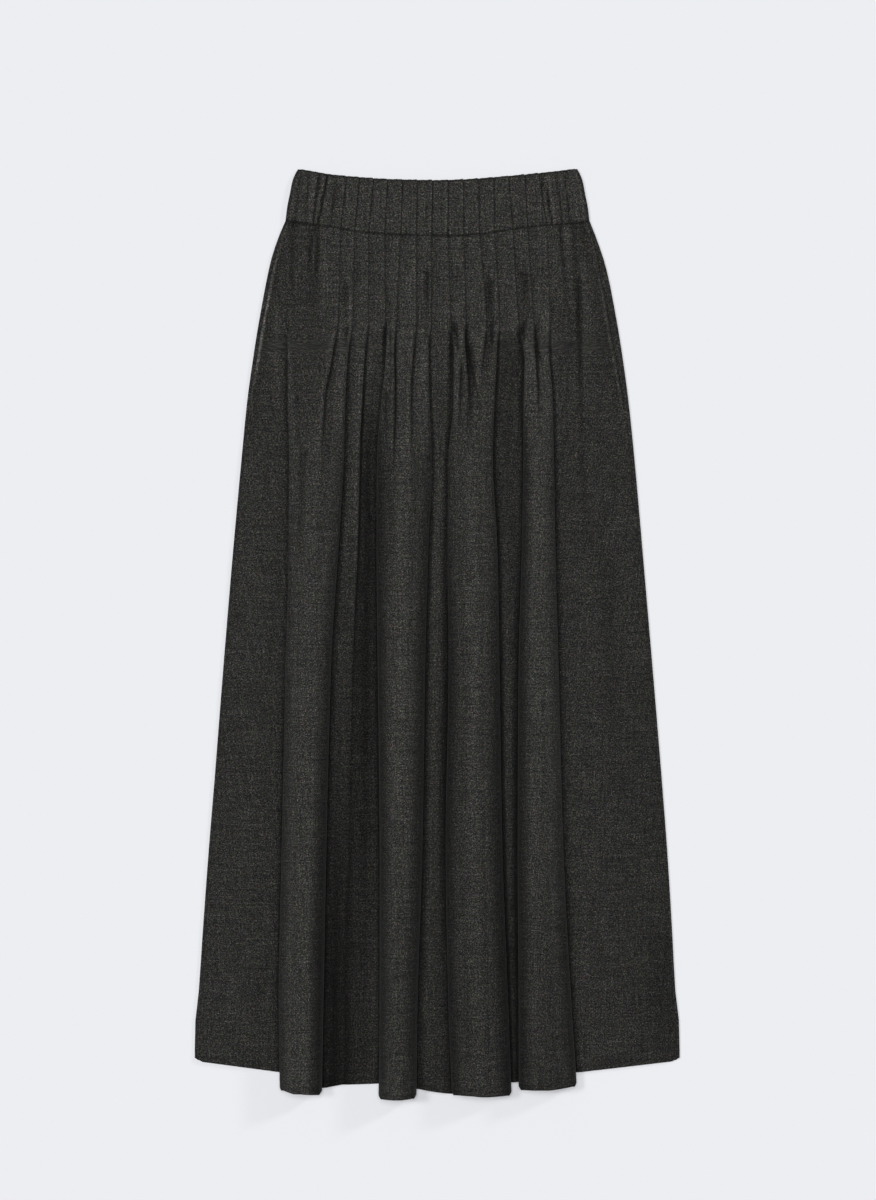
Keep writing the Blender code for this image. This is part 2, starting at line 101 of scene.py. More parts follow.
# Each fold line: name, side its edge faces, size against a full fold, drop where it has
# faded, hem drop to its left and right, then its place across at each of FOLD_DROPS
FOLD_LINES = (
    ("edge", -1, 0.74, 0, 948.2, 966.6,
     (-151.5, -159.0, -159.0, -159.0, -157.0, -157.0, -160.0, -164.3, -167.5, -166.2)),
    ("tuck_1", 1, 0.85, 340, 969.0, 969.0,
     (-102.4, -105.5, -109.7, -117.1, -120.2, -126.0, -134.5, -142.5, -145.0, -145.0)),
    ("tuck_2", 1, 1.10, 0, 970.8, 964.9,
     (-87.7, -89.8, -92.9, -95.0, -97.1, -103.4, -110.8, -116.0, -119.2, -120.6)),
    ("tuck_3", 1, 0.85, 580, 961.4, 961.4,
     (-73.0, -73.0, -75.1, -77.2, -80.4, -83.0, -88.0, -92.0, -95.0, -95.0)),
    ("tuck_4", -1, 1.00, 0, 960.4, 975.4,
     (-56.2, -55.1, -56.2, -60.4, -64.6, -64.6, -63.5, -61.4, -61.4, -62.5)),
    ("tuck_5", 1, 0.80, 350, 975.2, 975.2,
     (-39.4, -43.6, -43.6, -42.5, -45.5, -46.5, -46.0, -43.5, -44.5, -45.0)),
    ("tuck_6", 1, 0.80, 330, 975.0, 975.0,
     (-22.6, -22.6, -24.7, -26.8, -26.0, -30.0, -31.0, -34.0, -38.5, -39.0)),
    ("tuck_7", 1, 1.00, 0, 974.7, 966.0,
     (-6.8, -7.4, -7.9, -6.8, -4.7, -8.9, -12.1, -15.2, -20.5, -21.5)),
    ("tuck_8", -1, 0.85, 0, 970.8, 971.4,
     (10.0, 14.2, 15.2, 15.2, 10.0, 10.0, 11.0, 7.9, 11.0, 14.2)),
    ("tuck_9", 1, 0.80, 262, 971.2, 971.2,
     (26.8, 29.9, 32.0, 34.1, 31.0, 30.0, 30.0, 30.0, 33.0, 36.0)),
    ("tuck_10", 1, 0.78, 232, 972.0, 972.0,
     (43.6, 51.0, 48.5, 46.0, 43.0, 43.0, 44.0, 45.0, 49.8, 52.0)),
    ("tuck_11", 1, 1.05, 0, 971.8, 958.6,
     (59.3, 64.6, 63.5, 61.4, 59.3, 63.5, 65.6, 68.8, 75.1, 78.2)),
    ("tuck_12", -1, 1.00, 0, 958.3, 966.0,
     (78.2, 85.6, 89.8, 88.7, 88.7, 87.7, 84.5, 83.5, 84.5, 84.5)),
    ("tuck_13", 1, 0.80, 290, 965.0, 965.0,
     (94.0, 101.3, 104.6, 106.4, 106.0, 106.0, 106.0, 108.0, 113.0, 115.5)),
    ("tuck_14", 1, 0.90, 0, 962.4, 948.6,
     (113.9, 118.1, 119.2, 122.3, 123.4, 124.4, 127.6, 132.8, 141.2, 146.5)),
)
LINE_NAMES = [line[0] for line in FOLD_LINES]

# Each roll of cloth between two fold lines: left line, right line, then the rise of its
# crown at each of FOLD_DROPS
ROLLS = (
    ("edge", "tuck_2", (0.0, 0.3, 2.4, 5.6, 10.0, 13.8, 16.4, 17.8, 18.2, 17.6)),
    ("tuck_2", "tuck_3", (0.0, 0.0, 0.3, 0.6, 0.8, 0.6, 0.3, 0.2, 0.2, 0.2)),
    ("tuck_3", "tuck_4", (0.0, 0.0, 0.3, 0.5, 0.6, 0.4, 0.2, 0.2, 0.2, 0.2)),
    ("tuck_4", "tuck_7", (0.0, 0.4, 3.0, 6.2, 10.8, 14.6, 17.2, 18.8, 19.2, 18.8)),
    ("tuck_7", "tuck_8", (0.0, 0.0, 0.8, 2.0, 3.6, 5.0, 6.0, 6.6, 6.8, 6.4)),
    ("tuck_8", "tuck_11", (0.0, 0.3, 2.6, 5.6, 9.8, 13.6, 16.4, 18.0, 18.4, 17.8)),
    ("tuck_11", "tuck_12", (0.0, 0.0, 0.8, 2.0, 3.4, 4.6, 5.4, 6.0, 6.2, 5.8)),
    ("tuck_12", "tuck_14", (0.0, 0.3, 2.6, 5.4, 9.6, 13.4, 16.2, 17.8, 18.2, 17.6)),
)

# Painted light and shade on each roll at three drops: by its left line, on its crown and by its
# right line; painted light on the crowns and painted shade deep between two folds
SHADING_DROPS = (360.0, 600.0, 840.0)
ROLL_SHADING = (
    ("edge", "tuck_2", (-0.55, 0.25, -0.85), (-1.0, 0.18, -1.45), (-1.2, 0.02, -2.1)),
    ("tuck_2", "tuck_3", (0.0, 0.0, -0.2), (-0.5, -0.35, -0.5), (-1.1, -1.6, -1.4)),
    ("tuck_3", "tuck_4", (-1.3, -1.2, -0.3), (-1.1, -1.0, -0.6), (-1.3, -0.5, 0.1)),
    ("tuck_4", "tuck_7", (-1.7, 0.35, -1.1), (-1.65, 0.25, -1.5), (-1.7, -0.40, -1.75)),
    ("tuck_7", "tuck_8", (0.3, -0.15, -0.2), (-0.3, -0.25, -1.1), (-0.3, -0.38, -0.1)),
    ("tuck_8", "tuck_11", (-0.9, 0.3, -0.7), (-1.7, 0.25, -1.6), (-1.6, 0.02, -1.85)),
    ("tuck_11", "tuck_12", (-0.5, -0.4, 0.2), (-0.7, -0.35, -1.0), (-1.5, -1.3, -1.4)),
    ("tuck_12", "tuck_14", (-1.6, 0.2, -0.85), (-1.8, 0.0, -0.9), (-1.8, -0.2, -1.6)),
)

# Half widths of the skirt and of its front panel at each drop: left and right
OUTLINE = (
    (54.6, 159.7, 160.1, 157.0, 157.4),
    (74.5, 168.1, 167.8, 164.6, 163.2),
    (95.5, 174.9, 174.8, 170.5, 168.0),
    (116.6, 179.6, 180.0, 175.2, 171.4),
    (137.6, 183.6, 184.1, 179.0, 175.8),
    (173.2, 189.9, 190.4, 185.5, 181.6),
    (200.6, 194.1, 194.7, 189.8, 186.8),
    (242.6, 199.9, 200.5, 196.9, 194.5),
    (305.6, 206.1, 207.1, 203.1, 203.1),
    (400.0, 214.8, 215.4, 211.8, 212.4),
    (515.6, 224.5, 225.3, 221.5, 222.3),
    (641.6, 234.4, 235.7, 231.4, 232.7),
    (725.6, 241.2, 242.0, 238.2, 239.0),
    (809.6, 246.5, 246.4, 243.5, 243.4),
    (893.6, 251.2, 250.2, 248.2, 247.2),
    (931.4, 255.1, 254.4, 252.1, 251.4),
)

# The waistband: its top edge, its seam and its side edges
BAND_TOP = (
    (-146.7, 0.3), (-130.3, 3.2), (-112.1, 6.3), (-84.8, 8.9), (-50.6, 11.2), (1.6, 12.3),
    (28.9, 11.4), (63.2, 8.9), (97.1, 5.8), (131.5, 2.1), (146.7, 0.0),
)
BAND_SEAM = (
    (-158.8, 54.1), (-130.3, 58.6), (-103.0, 62.4), (-84.8, 66.0), (-39.4, 69.6), (13.1, 70.6),
    (44.6, 68.9), (74.5, 64.4), (108.7, 60.2), (142.8, 57.2), (158.8, 55.2),
)
BAND_SIDE = (
    (0.0, 146.8), (7.4, 150.8), (13.7, 152.9), (26.2, 155.3), (38.9, 157.9), (54.6, 159.8),
)
BAND_TUCKS = (
    -96.1, -82.4, -67.7, -53.0, -37.3, -21.5, -5.8, 11.0, 26.8, 42.5, 58.3, 74.0, 90.8, 105.5,
)
BAND_TUCK_SIZES = (0.75, 0.8, 1.15, 0.9, 0.75, 0.85, 1.3, 1.15, 1.15, 0.9, 0.8, 0.9, 1.1, 0.9)
# Soft creases on the front: first drop, last drop, across at both, half width, height, where a
# trough is below nought
CREASES = (
    (60.0, 165.0, -134.0, -131.0, 1.9, -2.6),
    (58.0, 150.0, -127.5, -125.8, 1.8, -3.2),
    (64.0, 140.0, -130.5, -128.5, 1.7, 0.9),
    (58.0, 150.0, -151.5, -154.0, 2.2, -1.6),
    (60.0, 120.0, -141.5, -144.0, 4.0, 0.8),
    (60.0, 150.0, -118.0, -120.0, 4.0, 0.9),
    (58.0, 165.0, 128.5, 136.5, 2.2, -1.7),
    (58.0, 150.0, 143.0, 147.0, 2.6, -0.8),
    (118.0, 340.0, 147.5, 153.0, 2.8, -2.3),
    (120.0, 215.0, 147.5, 149.0, 3.2, -1.2),
    (300.0, 440.0, 152.0, 157.0, 4.2, -0.8),
    (60.0, 160.0, 135.0, 144.0, 3.4, 0.9),
    (58.0, 110.0, 152.0, 157.0, 2.4, -1.2),
    (170.0, 204.0, -54.5, -53.0, 2.6, -2.2),
    (172.0, 236.0, -56.5, -57.0, 1.8, -2.2),
    (172.0, 280.0, -44.0, -45.5, 1.6, -1.6),
    (176.0, 290.0, -49.0, -48.0, 2.1, -2.0),
    (168.0, 240.0, 15.0, 17.0, 3.6, -2.8),
    (180.0, 330.0, 13.5, 10.5, 1.7, -1.6),
    (166.0, 300.0, 29.5, 23.5, 1.9, -1.8),
    (196.0, 330.0, 21.5, 18.0, 2.6, 1.3),
    (172.0, 222.0, 31.0, 32.5, 3.4, -1.4),
    (120.0, 178.0, 54.5, 56.0, 4.8, -2.7),
    (190.0, 330.0, 35.0, 32.0, 4.6, -2.5),
    (232.0, 320.0, -45.0, -45.0, 1.7, -2.2),
    (226.0, 340.0, 88.0, 87.5, 1.9, -2.2),
    (170.0, 230.0, 86.0, 89.5, 3.2, -2.6),
    (168.0, 215.0, 98.5, 101.0, 2.0, 1.2),
    (172.0, 226.0, 103.0, 104.5, 3.0, -1.9),
    (186.0, 250.0, 105.0, 121.0, 1.8, -1.5),
    (148.0, 182.0, 121.0, 116.5, 1.6, -1.0),
    (178.0, 300.0, -77.5, -80.0, 4.0, -0.8),
    (190.0, 300.0, -33.0, -35.0, 3.6, -0.9),
    (172.0, 224.0, -94.5, -98.5, 2.8, -1.7),
    (172.0, 216.0, -12.0, -12.5, 2.8, -1.5),
    (166.0, 212.0, 56.5, 58.0, 3.0, -2.4),
    (104.0, 172.0, -117.0, -119.0, 5.5, 1.7),
    (100.0, 310.0, 155.0, 163.0, 6.0, 0.9),
    (150.0, 310.0, -169.0, -168.0, 6.0, 0.8),
    (232.0, 310.0, -54.0, -54.0, 1.9, -1.8),
    (215.0, 340.0, -18.0, -19.0, 6.0, 0.8),
    (112.0, 172.0, 36.0, 37.0, 5.0, 1.5),
    (112.0, 178.0, -10.5, -11.5, 3.6, -2.8),
    (124.0, 172.0, -96.5, -97.0, 3.0, -1.5),
    (112.0, 178.0, 91.0, 94.0, 5.5, -2.4),
    (112.0, 168.0, -31.0, -31.0, 5.0, 0.9),
    (120.0, 172.0, 105.0, 107.0, 3.0, 0.7),
    (300.0, 470.0, -141.0, -147.0, 5.0, -0.9),
    (170.0, 196.0, -54.5, -54.5, 1.6, -2.2),
    (178.0, 246.0, -51.5, -57.5, 1.6, 0.8),
    (168.0, 206.0, -46.0, -47.0, 1.6, 0.9),
    (180.0, 262.0, 26.5, 16.0, 1.8, 1.6),
    (176.0, 300.0, 29.5, 54.0, 2.2, -1.5),
    (206.0, 310.0, 24.5, 21.5, 1.8, -2.4),
    (170.0, 216.0, 99.5, 103.0, 1.7, 1.5),
    (180.0, 232.0, 108.5, 119.5, 1.7, 1.1),
    (170.0, 210.0, -101.5, -104.0, 1.8, 1.0),
    (168.0, 212.0, 20.0, 21.0, 2.4, -2.4),
    (166.0, 268.0, 90.6, 89.6, 2.0, -2.6),
    (206.0, 262.0, 39.5, 38.0, 2.0, -1.2),
    (300.0, 640.0, -206.0, -200.0, 20.0, 0.6),
    (420.0, 800.0, 178.0, 196.0, 10.0, -0.7),
    (800.0, 1200.0, 232.0, 262.0, 16.0, -1.1),
)

# Soft creases of the back, which rests on them
BACK_CREASES = (
    (64.0, 300.0, -118.0, -132.0, 5.0, 0.4), (66.0, 420.0, -84.0, -96.0, 6.0, 0.4),
    (64.0, 250.0, -52.0, -55.0, 4.0, 0.35), (70.0, 520.0, -22.0, -30.0, 7.0, 0.4),
    (64.0, 330.0, 12.0, 14.0, 5.0, 0.4), (66.0, 600.0, 47.0, 66.0, 8.0, 0.4),
    (64.0, 280.0, 82.0, 90.0, 4.5, 0.35), (66.0, 460.0, 116.0, 138.0, 6.0, 0.4),
    (420.0, 900.0, -150.0, -170.0, 12.0, 0.35), (500.0, 940.0, 110.0, 120.0, 14.0, 0.35),
)
# Dark of the back for each millimetre that it stands off the floor
BACK_SHADE = 0.48

# Height of the front cloth's pressed side edge at each drop
EDGE_RIDGE = ((60.0, 0.3), (110.0, 1.0), (170.0, 1.5), (215.0, 1.1), (260.0, 0.3), (330.0, 0.0))
# Painted highlight along that edge: drop, left edge, right edge
EDGE_HIGHLIGHT = (
    (60.0, 0.05, 0.05), (100.0, 0.55, 0.18), (150.0, 1.05, 0.28), (200.0, 1.10, 0.36),
    (225.0, 0.35, 0.36), (262.0, 0.0, 0.36), (300.0, 0.0, 0.0),
)
# Strips of cloth below the ends of the tucks that lie in shade or catch the light: left,
# right, last drop, tone
TUCK_END_STRIPS = (
    (50.5, 85.5, 330.0, -0.42), (-75.0, -57.5, 215.0, -0.14), (-7.5, 13.0, 215.0, -0.16),
    (-104.0, -95.0, 215.0, -0.14), (-42.0, -25.0, 330.0, 0.20), (-24.0, -9.0, 340.0, 0.12),
    (33.0, 47.0, 300.0, 0.10), (21.5, 27.5, 215.0, 0.16), (89.0, 118.0, 320.0, 0.10),
)
# Dark of the right side panel towards its seam
RIGHT_SIDE_SHADE = 0.16
# Drop and paleness of the stitches that end the tucks, and the palest tone of the cloth
TUCK_END = 172.0
TUCK_END_TONE = 0.16
PALEST = 0.54
# Swelling of the front cloth over the layers below it at each drop
SWELL = (
    (62.0, 0.2), (80.0, 1.2), (150.0, 1.5), (185.0, 2.6), (250.0, 2.8), (330.0, 1.8), (430.0, 0.8),
    (560.0, 0.4),
)
# Depth and half width of the groove at the foot of each fold at each drop
FOOT_GROOVE = (
    (62.0, 0.4, 0.7), (160.0, 0.4, 0.7), (180.0, 2.2, 1.4), (260.0, 2.4, 1.5), (400.0, 1.6, 1.6),
    (900.0, 0.8, 1.6),
)
BACK_HEM = (
    (-255.4, 936.0), (-200.0, 941.0), (-150.0, 947.0), (-60.0, 953.0), (60.0, 953.0),
    (150.0, 946.0), (200.0, 941.0), (255.0, 935.6),
)
# Hem drop of the front at its left and right side seam, and how much it rounds off there
HEM_CORNER = (937.0, 936.6)
SIDE_CORNER_ROUND = 2.6
# Share of the way from a fold line's left hem drop to its right one, at its six points
HEM_SHARES = (0.0, 0.0, 0.3, 0.7, 1.0, 1.0)

# Creases of the elastic in the band: across at its top and its seam, half width, height
BAND_CREASES = (
    (-143.5, -150.0, 1.6, -0.7), (-135.0, -138.5, 1.3, -0.7), (-123.6, -130.7, 1.1, -1.9),
    (-115.0, -125.8, 1.2, -2.6), (-119.4, -128.0, 1.6, 1.0), (-128.5, -134.5, 2.6, 0.8),
    (-106.0, -112.0, 2.2, -0.6), (109.0, 110.5, 1.0, -0.9), (111.0, 120.5, 1.1, -2.0),
    (115.5, 124.0, 2.0, 0.8), (124.0, 131.0, 1.3, -0.9), (133.0, 139.5, 1.4, -0.8),
    (140.0, 147.0, 1.6, 0.6),
)
# Rows of the band from the turned-in edge over the top to the seam: share, height, where
# nought is the inside layer and one is the face
BAND_ROWS = (
    (0.20, 0.0), (0.10, 0.0), (0.02, 0.05), (0.0, 0.3), (0.0, 0.6), (0.015, 0.88),
    (0.04, 1.0), (0.08, 1.06), (0.14, 1.12), (0.22, 1.2), (0.30, 1.26), (0.38, 1.3),
    (0.46, 1.32), (0.54, 1.32), (0.62, 1.3), (0.70, 1.25), (0.78, 1.18), (0.86, 1.1),
    (0.92, 1.0), (0.96, 0.85), (0.985, 0.6), (1.0, 0.2),
)

# Rows of a panel: stretches as first drop, last drop, step, then the rows at the hem
ROW_STRETCHES = (
    (69.0, 165.0, 6.0), (169.0, 214.0, 3.0), (219.0, 303.0, 6.0), (313.0, 943.0, 17.5),
)
HEM_ROWS = (9.5, 8.0, 6.6, 5.6, 4.8, 4.0, 3.0, 1.8, 0.8, 0.0)
SEAM_ROWS = (SEAM_DROP, 62.6, 63.4, 64.6, 66.2)
# Points of a front section on each side panel and between two folds, and the columns of the
# mesh for each stretch between two points, on plain cloth and round a fold
SIDE_POINTS = 9
STRIP_POINTS = 4
CLOTH_STEPS = 4
FOLD_STEPS = [2, 2, 1, 2, 2]
# The same for the back and its band, and the columns that wrap round each side of them
GATHER_STEPS = 2
WRAP_COLUMNS = 6
BAND_BACK_ROWS = 15
BAND_STEPS = 3

# Colours of the wool from its darkest fibres to its palest flecks, each with its place in
# the mixed tone
WOOL_COLOURS = (
    (0.22, (0.0038, 0.0040, 0.0041, 1.0)),
    (0.46, (0.0172, 0.0171, 0.0160, 1.0)),
    (0.64, (0.0460, 0.0456, 0.0414, 1.0)),
    (0.84, (0.1290, 0.1280, 0.1150, 1.0)),
)
# What each part of the yarn gives to that tone
FLECK_SHARE = 0.31
SLUB_SHARE = 0.08
WARP_SHARE = 0.16
WEFT_SHARE = 0.18
HAIR_SHARE = 0.36
TONE_DROP = 0.045
TINT = 0.36
FLECKS_PER_METRE = 1350.0
YARNS_PER_METRE = 640.0
YARN_STRETCH = 0.035
HAIRS_PER_METRE = 720.0
SLUBS_PER_METRE = 1150.0

# The studio; each lamp has its name, direction, strength and softness in degrees
FLOOR_COLOUR = (0.880, 0.890, 0.925, 1.0)
LAMPS = (
    ("softbox", (0.03, -0.06, -1.00), 1.98, 40.0),
    ("window", (0.70, -0.12, -0.70), 0.75, 12.0),
    ("lamp", (-0.78, -0.50, -0.36), 0.55, 8.0),
)
AIR_LIGHT = 0.10
PHOTO_HEIGHT = 1200
MM_PER_PIXEL = 1.05
SENSOR_HEIGHT = 36.0
CAMERA_HEIGHT = 4.2
CAMERA_MIDDLE = (0.5, 452.6)


# Sums


def clamp(value, low, high):
    return max(low, min(high, value))


def smooth(value):
    t = clamp(value, 0.0, 1.0)
    return t * t * (3.0 - 2.0 * t)


def mix(a, b, t):
    return a + (b - a) * t


def curve(keys, values, at):
    """A value read off a table with an easy curve through its rows."""
    if at <= keys[0]:
        return values[0]
    if at >= keys[-1]:
        return values[-1]
    i = max(k for k in range(len(keys) - 1) if keys[k] <= at)
    span = keys[i + 1] - keys[i]
    t = (at - keys[i]) / span
    slope = (values[i + 1] - values[i]) / span
    before = slope
    after = slope
    if i > 0:
        last = (values[i] - values[i - 1]) / (keys[i] - keys[i - 1])
        before = 0.0 if last * slope <= 0 else 2.0 * last * slope / (last + slope)
    if i < len(keys) - 2:
        coming = (values[i + 2] - values[i + 1]) / (keys[i + 2] - keys[i + 1])
        after = 0.0 if coming * slope <= 0 else 2.0 * coming * slope / (coming + slope)
    rise = t * (1.0 - t) * (1.0 - t) * before * span
    fall = t * t * (t - 1.0) * after * span
    return mix(values[i], values[i + 1], smooth(t)) + rise + fall


def read(table, at, index=1):
    """One column of a table at a value of its first column."""
    return curve([row[0] for row in table], [row[index] for row in table], at)


def outline(drop, index):
    """Half width on a row, whose ends bend up to the seam near the waistband."""
    near_seam = 1.0 - clamp((drop - SEAM_DROP) / SEAM_BEND, 0.0, 1.0)
    return read(OUTLINE, drop - SEAM_SLOPE * near_seam, index)


def gather_height(x, drop, half_width):
    """How far the back cloth stands off the floor in its gathers."""
    fade = 1.0 - smooth((drop - 60.0) / (GATHER_FADE_DROP - 60.0))
    return GATHER_HEIGHT * fade * smooth((half_width - abs(x)) / 30.0)


def front_level(x, drop):
    """Middle height of the front cloth where it lies plain on the back."""
    return FRONT_LEVEL + gather_height(x, drop, outline(drop, 1))


# Folds and rolls of the front


def line_state(line, drop):
    """Place, facing, hidden depth, height and share left of one fold line at one drop."""
    name, faces, size, fade, left_hem, right_hem, places = line
    opened = smooth((drop - 162.0) / 20.0)
    place = curve(FOLD_DROPS, places, drop)
    place -= faces * opened * (1.1 + 0.9 * (1.0 - smooth((drop - 250.0) / 150.0)))
    if drop <= FOLD_DROPS[1]:
        step = TUCK_STEP * (smooth((drop - 156.0) / 14.0) if name == "edge" else 1.0)
        return [place, 1, 0.0, step, 1.0]
    reach = curve(FOLD_DROPS, FOLD_REACH, drop) * size
    rise = curve(FOLD_DROPS, FOLD_RISE, drop) * size
    if drop < FOLD_DROPS[2]:
        reach = FOLD_REACH[2] * size * smooth((drop - FOLD_DROPS[1]) / 26.0)
        rise = mix(TUCK_STEP, FOLD_RISE[2] * size, smooth((drop - FOLD_DROPS[1]) / 14.0))
    left = 1.0
    if fade:
        begin = min(200.0, fade - 60.0)
        left = 1.0 - smooth((drop - begin) / (fade - begin))
        reach = min(reach, 3.2) * smooth((left - 0.7) / 0.3)
        rise = clamp(rise, min(3.7, 0.3 * (drop - TUCK_END)), 4.0) * left
    return [place, faces, reach, max(rise, 0.0), left]


def plateau(x, states):
    """Height of the rolls' upper cloth, from the turn of one big fold to that of the next."""
    for left, right, crowns in ROLLS:
        a = states[LINE_NAMES.index(left)]
        b = states[LINE_NAMES.index(right)]
        if a[0] < x < b[0] and a[1] < 0 < b[1]:
            return mix(a[3], b[3], (x - a[0]) / (b[0] - a[0]))
    return 0.0


def roll_rise(x, drop, states):
    """Height of the big soft rolls above that."""
    for left, right, crowns in ROLLS:
        a = states[LINE_NAMES.index(left)][0]
        b = states[LINE_NAMES.index(right)][0]
        if a < x < b:
            t = (x - a) / (b - a)
            return curve(FOLD_DROPS, crowns, drop) * math.sin(math.pi * t) ** 0.9
    return 0.0


def line_points(state, spread):
    """Six points of the cloth as it turns under one fold line and out again."""
    place, faces, reach, rise = state[:4]
    under = min(RETURN_LIFT, rise * 0.5)
    turn = min((rise - under) / 2.0, 3.0)
    hook = under / 2.0
    step = [(-3, 1.0), (-2, 0.97), (-0.6, 0.8), (0.6, 0.2), (2, 0.03), (3, 0.0)]
    fold = [
        (-turn, rise), (0.0, (rise + under) / 2.0), (-turn, under),
        (hook - reach, under), (-reach, under / 2.0), (hook - reach, 0.0),
    ]
    folded = clamp((reach - 0.6) / 3.0, 0.0, 1.0) * clamp(rise - 2.4, 0.0, 1.0)
    points = []
    for (sx, sz), (fx, fz) in zip(step, fold):
        points.append((mix(sx * spread, fx, folded), mix(sz * rise, fz, folded)))
    if faces < 0:
        points = [(-x, z) for x, z in reversed(points)]
    return [(place + x, z) for x, z in points]


def front_section(drop):
    """The front cloth from its left seam to its right one: across, height, hem drop."""
    states = [line_state(line, drop) for line in FOLD_LINES]
    places = [s[0] for s in states]
    spreads = []
    floors = []
    for k, state in enumerate(states):
        gaps = [abs(places[k] - p) for p in (places[k - 1:k] + places[k + 1:k + 2])]
        spreads.append(clamp(min(gaps) / 12.0, 0.1, 0.55) if drop > 174.0 else 0.16)
        inner = FOLD_LINES[k][3] > 0
        floors.append(plateau(places[k], states) * (1.0 - state[4]) if inner else 0.0)
    section = []
    for k in range(len(states) + 1):
        start = (-outline(drop, 3), 0.0)
        end = (outline(drop, 4), 0.0)
        hem_from = HEM_CORNER[0]
        hem_to = HEM_CORNER[1]
        if k > 0:
            place, faces, reach, rise = states[k - 1][:4]
            clear = 3.0 * spreads[k - 1] + 0.8
            start = (place + clear, floors[k - 1])
            if faces < 0:
                start = (place + max(TURN_CLEAR, clear), floors[k - 1] + rise)
            hem_from = FOLD_LINES[k - 1][5]
        if k < len(states):
            place, faces, reach, rise = states[k][:4]
            clear = 3.0 * spreads[k] + 0.8
            end = (place - max(TURN_CLEAR, clear), floors[k] + rise)
            if faces < 0:
                end = (place - clear, floors[k])
            hem_to = FOLD_LINES[k][4]
        low = start[0]
        high = end[0]
        if high < low + 1.2:
            middle = (low + high) / 2.0
            low = middle - 0.6
            high = middle + 0.6
        count = SIDE_POINTS if k in (0, len(states)) else STRIP_POINTS
        for n in range(count):
            t = n / (count - 1)
            x = mix(low, high, t)
            lift = mix(start[1], end[1], smooth(t)) + roll_rise(x, drop, states)
            section.append((x, front_level(x, drop) + lift, mix(hem_from, hem_to, t)))
        if k < len(states):
            line = FOLD_LINES[k]
            for n, (x, lift) in enumerate(line_points(states[k], spreads[k])):
                if line[3]:
                    near = mix(x, places[k], clamp(states[k][2] / 3.0, 0.0, 1.0))
                    at_line = floors[k] + roll_rise(near, drop, states)
                else:
                    outer = n == 0 if states[k][1] > 0 else n == 5
                    at_line = roll_rise(x, drop, states) if outer else 0.0
                level = front_level(x, drop) + at_line + lift
                turn = 1 if states[k][1] > 0 else 4
                corner = HEM_CORNER_ROUND if n == turn and not line[3] else 0.0
                section.append((x, level, mix(line[4], line[5], HEM_SHARES[n]) - corner))
    return section


def through(points, counts):
    """Points on a soft curve through the given ones, with a count for each stretch."""
    p = np.array(points, float)
    first = 2.0 * p[0] - p[1]
    last = 2.0 * p[-1] - p[-2]
    p = np.vstack([first, p, last])
    made = []
    for i, count in enumerate(counts):
        a, b, c, d = p[i], p[i + 1], p[i + 2], p[i + 3]
        for n in range(count):
            t = n / count
            made.append(0.5 * (
                2.0 * b + (c - a) * t + (2.0 * a - 5.0 * b + 4.0 * c - d) * t * t
                + (3.0 * b - a - 3.0 * c + d) * t * t * t
            ))
    made.append(p[-2])
    return np.array(made)


def crease_height(x, drop, creases=CREASES):
    """Height that the listed creases add at a point of the cloth."""
    height = 0.0
    for first, last, start, end, width, size in creases:
        if first - 10.0 < drop < last:
            t = clamp((drop - first) / (last - first), 0.0, 1.0)
            off = (x - mix(start, end, t)) / width
            if abs(off) < 3.0:
                ease = smooth((drop - first + 10.0) / 10.0) * (1.0 - smooth(t))
                height += size * ease * math.exp(-off * off)
    return height


def unevenness(x, drop, seed):
    """Small slow waves, so that no stretch of the cloth is quite flat."""
    slow = noise.noise(Vector((x / 46.0, drop / 90.0, seed)))
    quick = noise.noise(Vector((x / 15.0, drop / 34.0, seed + 7.0)))
    return 0.42 * slow + 0.16 * quick


def swelling(x, drop):
    """Lift of the cloth over the tuck layers and the seam allowances under it."""
    from_side = min(x + outline(drop, 3), outline(drop, 4) - x)
    inner = 1.0 - 0.55 * smooth((abs(x - TUCKS_MIDDLE) - TUCKS_HALF) / 30.0)
    return read(SWELL, drop) * smooth(from_side / 22.0) * inner


def foot_grooves(x, drop, states):
    """Narrow troughs where each fold meets the cloth it lies on, with a pressed edge above."""
    height = 0.0
    depth = read(FOOT_GROOVE, drop)
    width = read(FOOT_GROOVE, drop, 2)
    for state, line in zip(states, FOLD_LINES):
        off = (x - state[0]) * state[1]
        if abs(off) < 9.0 and (line[0] != "edge" or drop > 200.0):
            left = state[4] if line[3] else 1.0
            height -= depth * left * math.exp(-((off - width) / width) ** 2)
            height += 0.25 * depth * left * math.exp(-((off + 1.6 * width) / width) ** 2)
    return height


